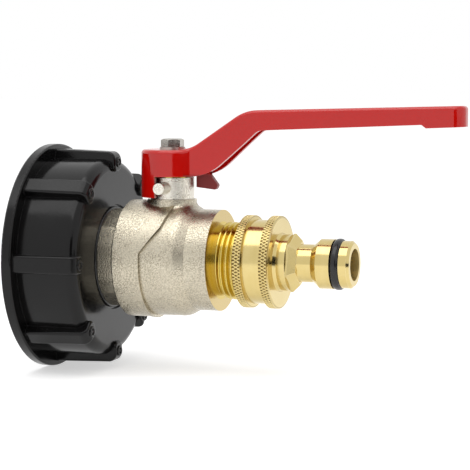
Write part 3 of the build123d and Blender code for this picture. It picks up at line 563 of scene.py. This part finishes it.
def make_knurl_tree():
    """Knurl rolled onto a ring: two crossing sets of ridges leave staggered columns of pits between smooth lips."""
    tree, nodes, entry = geometry_tree("pitted_knurl", [
        ("Pits round", "NodeSocketInt", 85),
        ("Steps a pit", "NodeSocketInt", 12),
        ("Column spacing", "NodeSocketFloat", 0.0011),
        ("Steps across", "NodeSocketInt", 41),
        ("Width", "NodeSocketFloat", 0.0032),
        ("Edge radius", "NodeSocketFloat", 0.0142),
        ("Root radius", "NodeSocketFloat", 0.0153),
        ("Height", "NodeSocketFloat", 0.0004),
        ("Lip", "NodeSocketFloat", 0.0003),
        ("Start", "NodeSocketVector", (0.0, 0.0, 0.0)),
        ("Material", "NodeSocketMaterial", None),
    ])
    values = entry.outputs
    columns = nodes.math("MULTIPLY", values["Pits round"], values["Steps a pit"])
    grid = nodes.add("GeometryNodeMeshGrid", {
        "Size X": tau, "Size Y": 1.0,
        "Vertices X": nodes.math("ADD", columns, 1.0), "Vertices Y": values["Steps across"],
    })
    parts = nodes.add("ShaderNodeSeparateXYZ", {"Vector": nodes.add("GeometryNodeInputPosition").outputs[0]})
    turn = parts.outputs["X"]
    from_middle = nodes.math("MULTIPLY", parts.outputs["Y"], values["Width"])
    round_phase = nodes.math("MULTIPLY", nodes.math("DIVIDE", turn, tau), values["Pits round"])
    across_phase = nodes.math("DIVIDE", nodes.math("MULTIPLY", from_middle, 0.5), values["Column spacing"])
    leaning = nodes.math("PINGPONG", nodes.math("ADD", round_phase, across_phase), 0.5)
    other = nodes.math("PINGPONG", nodes.math("SUBTRACT", round_phase, across_phase), 0.5)
    pit = nodes.ramp(nodes.math("MINIMUM", leaning, other), 0.10, 0.36)
    from_edge = nodes.math("SUBTRACT", nodes.math("MULTIPLY", values["Width"], 0.5),
                           nodes.math("ABSOLUTE", from_middle))
    inside = nodes.ramp(nodes.math("DIVIDE", from_edge, values["Lip"]), 1.0, 1.6)
    climb = nodes.ramp(nodes.math("DIVIDE", from_edge, values["Lip"]), 0.0, 0.8, smooth=False)
    sunk = nodes.math("MULTIPLY", nodes.math("MULTIPLY", pit, inside), values["Height"])
    crest = nodes.math("ADD", values["Root radius"], values["Height"])
    lattice = nodes.math("SUBTRACT", crest, sunk)
    rise = nodes.math("MULTIPLY", nodes.math("SUBTRACT", 1.0, climb),
                      nodes.math("SUBTRACT", crest, values["Edge radius"]))
    radius = nodes.math("SUBTRACT", lattice, rise)
    place = nodes.add("ShaderNodeCombineXYZ", {
        "X": from_middle,
        "Y": nodes.math("MULTIPLY", radius, nodes.math("COSINE", turn)),
        "Z": nodes.math("MULTIPLY", radius, nodes.math("SINE", turn)),
    })
    moved = nodes.add("ShaderNodeVectorMath", {0: place.outputs[0], 1: values["Start"]}, operation="ADD")
    rolled = nodes.add("GeometryNodeSetPosition", {"Geometry": grid.outputs[0], "Position": moved.outputs[0]})
    closed = nodes.add("GeometryNodeMergeByDistance", {"Geometry": rolled.outputs[0], "Distance": 0.000002})
    close_tree(nodes, closed.outputs[0], values["Material"])
    return tree


def make_marks_tree():
    """Round moulding marks, one on each rib's end: a low rolled ring round a button."""
    tree, nodes, entry = geometry_tree("rib_marks", [
        ("Count", "NodeSocketInt", 8),
        ("Reach", "NodeSocketFloat", 0.033),
        ("Ring radius", "NodeSocketFloat", 0.0013),
        ("Ring thickness", "NodeSocketFloat", 0.0004),
        ("Start", "NodeSocketVector", (0.0, 0.0, 0.0)),
        ("Material", "NodeSocketMaterial", None),
    ])
    values = entry.outputs
    path = nodes.add("GeometryNodeCurvePrimitiveCircle", {"Resolution": 28, "Radius": values["Ring radius"]})
    section = nodes.add("GeometryNodeCurvePrimitiveCircle", {"Resolution": 10, "Radius": values["Ring thickness"]})
    ring = nodes.add("GeometryNodeCurveToMesh", {"Curve": path.outputs[0], "Profile Curve": section.outputs[0]})
    ball = nodes.add("GeometryNodeMeshUVSphere", {
        "Segments": 20, "Rings": 12, "Radius": nodes.math("MULTIPLY", values["Ring radius"], 0.55),
    })
    button = nodes.add("GeometryNodeTransform", {"Geometry": ball.outputs[0], "Scale": (1.0, 1.0, 0.4)})
    both = nodes.add("GeometryNodeJoinGeometry")
    for part in (ring, button):
        nodes.tree.links.new(part.outputs[0], both.inputs[0])
    places = nodes.add("GeometryNodeMeshCircle", {"Vertices": values["Count"], "Radius": values["Reach"]})
    spread = nodes.add("GeometryNodeInstanceOnPoints", {"Points": places.outputs[0], "Instance": both.outputs[0]})
    laid = nodes.add("GeometryNodeTransform", {
        "Geometry": spread.outputs[0], "Translation": values["Start"], "Rotation": (0.0, pi / 2, 0.0),
    })
    close_tree(nodes, laid.outputs[0], values["Material"])
    return tree


def finish_piece(piece, body, smooth_angle=None):
    """Turns a piece's faces outwards, shades it and hangs it on its body."""
    shell = bmesh.new()
    shell.from_mesh(piece.data)
    bmesh.ops.recalc_face_normals(shell, faces=shell.faces)
    shell.to_mesh(piece.data)
    shell.free()
    if smooth_angle is not None:
        piece.data.shade_smooth()
        piece.data.set_sharp_from_angle(angle=radians(smooth_angle))
    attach(piece, body)


# Threads
thread_tree = make_thread_tree()
outlet_thread = grown_piece("outlet_thread", thread_tree, {
    "Turns": 8.2,
    "Pitch": THREAD_PITCH,
    "Root radius": THREAD_ROOT_RADIUS - 0.02 * MM,
    "Height": THREAD_CREST_RADIUS - THREAD_ROOT_RADIUS + 0.02 * MM,
    "Root width": 1.72 * MM,
    "Crest width": 0.40 * MM,
    "Fade": 0.05,
    "Steps": 96,
    "Start": (OUTLET_FACE_X + 1.7 * MM, 0.0, 0.0),
    "Material": cut_brass,
})
finish_piece(outlet_thread, "valve", 30)

mouth_thread = grown_piece("mouth_thread", thread_tree, {
    "Turns": 2.3,
    "Pitch": CAP_THREAD_PITCH,
    "Root radius": CAP_THREAD_RADIUS + 0.02 * MM,
    "Height": -CAP_THREAD_HEIGHT,
    "Root width": 3.4 * MM,
    "Crest width": 1.2 * MM,
    "Fade": 0.03,
    "Steps": 128,
    "Start": (1.7 * MM, 0.0, 0.0),
    "Material": black_plastic,
})
finish_piece(mouth_thread, "valve", 30)

# Marks on the cap's rib ends
rib_marks = grown_piece("rib_marks", make_marks_tree(), {
    "Count": RIB_COUNT,
    "Reach": RIB_MARK_REACH,
    "Ring radius": 1.45 * MM,
    "Ring thickness": 0.45 * MM,
    "Start": (RIB_FRONT_X + 0.02 * MM, 0.0, 0.0),
    "Material": black_plastic,
})
finish_piece(rib_marks, "valve", 60)

# Knurled rings of the hose connector's nut
knurl_tree = make_knurl_tree()
for ring_name, ring_start in (
    ("rear_knurl", SOCKET_START_X),
    ("front_knurl", SOCKET_END_X - KNURL_RING_WIDTH),
):
    ring = grown_piece(ring_name, knurl_tree, {
        "Pits round": 85,
        "Steps a pit": 12,
        "Column spacing": 1.08 * MM,
        "Steps across": 49,
        "Width": KNURL_RING_WIDTH,
        "Edge radius": KNURL_EDGE_RADIUS,
        "Root radius": KNURL_ROOT_RADIUS + 0.01 * MM,
        "Height": KNURL_TIP_RADIUS - KNURL_ROOT_RADIUS,
        "Lip": 0.26 * MM,
        "Start": (ring_start + KNURL_RING_WIDTH / 2, 0.0, 0.0),
        "Material": knurled_brass,
    })
    finish_piece(ring, "valve", 40)


def turned_screw_head():
    """The screw's hexagon head, its corners turned off on top, on a washer face."""
    shell = bmesh.new()
    apothem = SCREW_FLATS / 2
    base = LEVER_TOP_Z + WASHER_THICKNESS
    top = base + SCREW_HEAD
    sides = 60
    chamfer = 0.45 * MM
    rings = [
        (apothem * 0.97, base, 0.0),
        (None, base + 0.12 * MM, 1.0),
        (None, None, 1.0),
        (apothem * 0.93, top, 0.0),
        (apothem * 0.80, top, 0.0),
        (apothem * 0.74, top - 0.10 * MM, 0.0),
    ]
    loops = []
    for radius, height, hexagonal in rings:
        loop = []
        for index in range(sides):
            angle = tau * index / sides
            turn = (index * 360 / sides) % 60 - 30
            corner = apothem / cos(radians(turn))
            reach = corner if hexagonal else radius
            level = top - chamfer * (corner / apothem - 0.93) / (2 / 3**0.5 - 0.93) if height is None else height
            place = (STEM_X + reach * cos(angle + pi / 2), reach * sin(angle + pi / 2), level)
            loop.append(shell.verts.new(place))
        loops.append(loop)
    for lower, upper in zip(loops, loops[1:]):
        for index in range(sides):
            follow = (index + 1) % sides
            shell.faces.new((lower[index], lower[follow], upper[follow], upper[index]))
    shell.faces.new(loops[-1])
    shell.faces.new(list(reversed(loops[0])))
    mesh = bpy.data.meshes.new("screw_head")
    shell.to_mesh(mesh)
    shell.free()
    mesh.materials.append(plated_steel)
    piece = bpy.data.objects.new("screw_head", mesh)
    bpy.context.scene.collection.objects.link(piece)
    return piece


screw_head = turned_screw_head()
finish_piece(screw_head, "handle", 22)
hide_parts("lever_screw")

# Floor, backdrop and lamps

def seen_directly(nodes):
    """1 for what the camera sees, straight on or mirrored, and 0 for the light that falls on the object."""
    rays = nodes.add("ShaderNodeLightPath")
    both = nodes.math("ADD", rays.outputs["Is Camera Ray"], rays.outputs["Is Glossy Ray"])
    return nodes.math("ADD", both, rays.outputs["Is Transmission Ray"], clamp=True)


def stage_material(name, colour, lift, mirrored_only=False):
    """A matt floor, lifted towards white where it is seen directly, or a card that only reflections show."""
    material = bpy.data.materials.new(name)
    material.use_nodes = True
    nodes = Nodes(material.node_tree)
    shader = material.node_tree.nodes["Principled BSDF"]
    shader.inputs["Base Color"].default_value = value_of(colour)
    shader.inputs["Roughness"].default_value = 0.9
    shader.inputs["Specular IOR Level"].default_value = 0.0
    if lift:
        shader.inputs["Emission Color"].default_value = (1.0, 1.0, 1.0, 1.0)
        strength = nodes.ramp(seen_directly(nodes), 0.0, 1.0, 0.0, lift, smooth=False)
        join(nodes, strength, shader, "Emission Strength")
    if mirrored_only:
        rays = nodes.add("ShaderNodeLightPath")
        join(nodes, rays.outputs["Is Glossy Ray"], shader, "Alpha")
    return material


def stage_sheet(name, corner_shade, material):
    """A flat sheet of the studio."""
    mesh = bpy.data.meshes.new(name)
    mesh.from_pydata(corner_shade, [], [(0, 1, 2, 3)])
    sheet = bpy.data.objects.new(name, mesh)
    bpy.context.scene.collection.objects.link(sheet)
    mesh.materials.append(material)


FLOOR_REACH = 6.0
FLOOR_LEVEL = -39.2 * MM
stage_sheet(
    "floor",
    [(x * FLOOR_REACH, y * FLOOR_REACH, FLOOR_LEVEL) for x, y in ((-1, -1), (1, -1), (1, 1), (-1, 1))],
    stage_material("pale_floor", (0.86, 0.86, 0.86), 0.52),
)

# Dark cards that only reflections show: a patch on the lever's cup and a band on the taper
for card_name, reach, from_turn, to_turn, card_top, card_tone in (
    ("tall_card", 0.50, 25.5, 50, 0.20, 0.01),
    ("low_card", 0.50, 50, 84, 0.035, 0.01),
    ("near_card", 0.34, 36, 54, 0.0, 0.06),
):
    feet = [(reach * sin(radians(turn)), -reach * cos(radians(turn))) for turn in (from_turn, to_turn)]
    stage_sheet(
        card_name,
        [(*feet[0], FLOOR_LEVEL), (*feet[1], FLOOR_LEVEL), (*feet[1], card_top), (*feet[0], card_top)],
        stage_material(card_name, (card_tone, card_tone, card_tone), 0.0, mirrored_only=True),
    )

world = bpy.data.worlds.new("studio")
world.use_nodes = True
bpy.context.scene.world = world
world_nodes = Nodes(world.node_tree)
background = world.node_tree.nodes["Background"]
strength = world_nodes.ramp(seen_directly(world_nodes), 0.0, 1.0, 0.62, 1.0, smooth=False)
background.inputs["Color"].default_value = (1.0, 1.0, 1.0, 1.0)
world.node_tree.links.new(strength, background.inputs["Strength"])


def soft_lamp(name, place, aim, size, power):
    """A square soft lamp pointed at a place on the object."""
    light = bpy.data.lights.new(name, "AREA")
    light.shape = "RECTANGLE"
    light.size, light.size_y = size
    light.energy = power
    lamp = bpy.data.objects.new(name, light)
    lamp.location = place
    lamp.rotation_euler = (Vector(aim) - Vector(place)).to_track_quat("-Z", "Y").to_euler()
    bpy.context.scene.collection.objects.link(lamp)
    return lamp


middle = (0.07, 0.0, 0.01)
soft_lamp("top_lamp", (0.0, -0.25, 0.9), middle, (0.9, 0.9), 4.0)

# Camera at the photograph's angle
CAMERA_AZIMUTH = radians(19.735)
CAMERA_ELEVATION = radians(4.84)
CAMERA_DISTANCE = 651.9 * MM
CAMERA_AIM = Vector((69.27 * MM, 0.0, 8.796 * MM))
outward = Vector((
    sin(CAMERA_AZIMUTH) * cos(CAMERA_ELEVATION),
    -cos(CAMERA_AZIMUTH) * cos(CAMERA_ELEVATION),
    sin(CAMERA_ELEVATION),
))
camera_data = bpy.data.cameras.new("camera")
camera_data.sensor_width = 36.0
camera_data.lens = 1915.9 * 36.0 / 470.0
camera_data.clip_start = 0.01
camera_data.clip_end = 20.0
camera = bpy.data.objects.new("camera", camera_data)
camera.location = CAMERA_AIM + CAMERA_DISTANCE * outward
camera.rotation_euler = (-outward).to_track_quat("-Z", "Y").to_euler()
bpy.context.scene.collection.objects.link(camera)
bpy.context.scene.camera = camera
bpy.context.scene.view_settings.view_transform = "Standard"
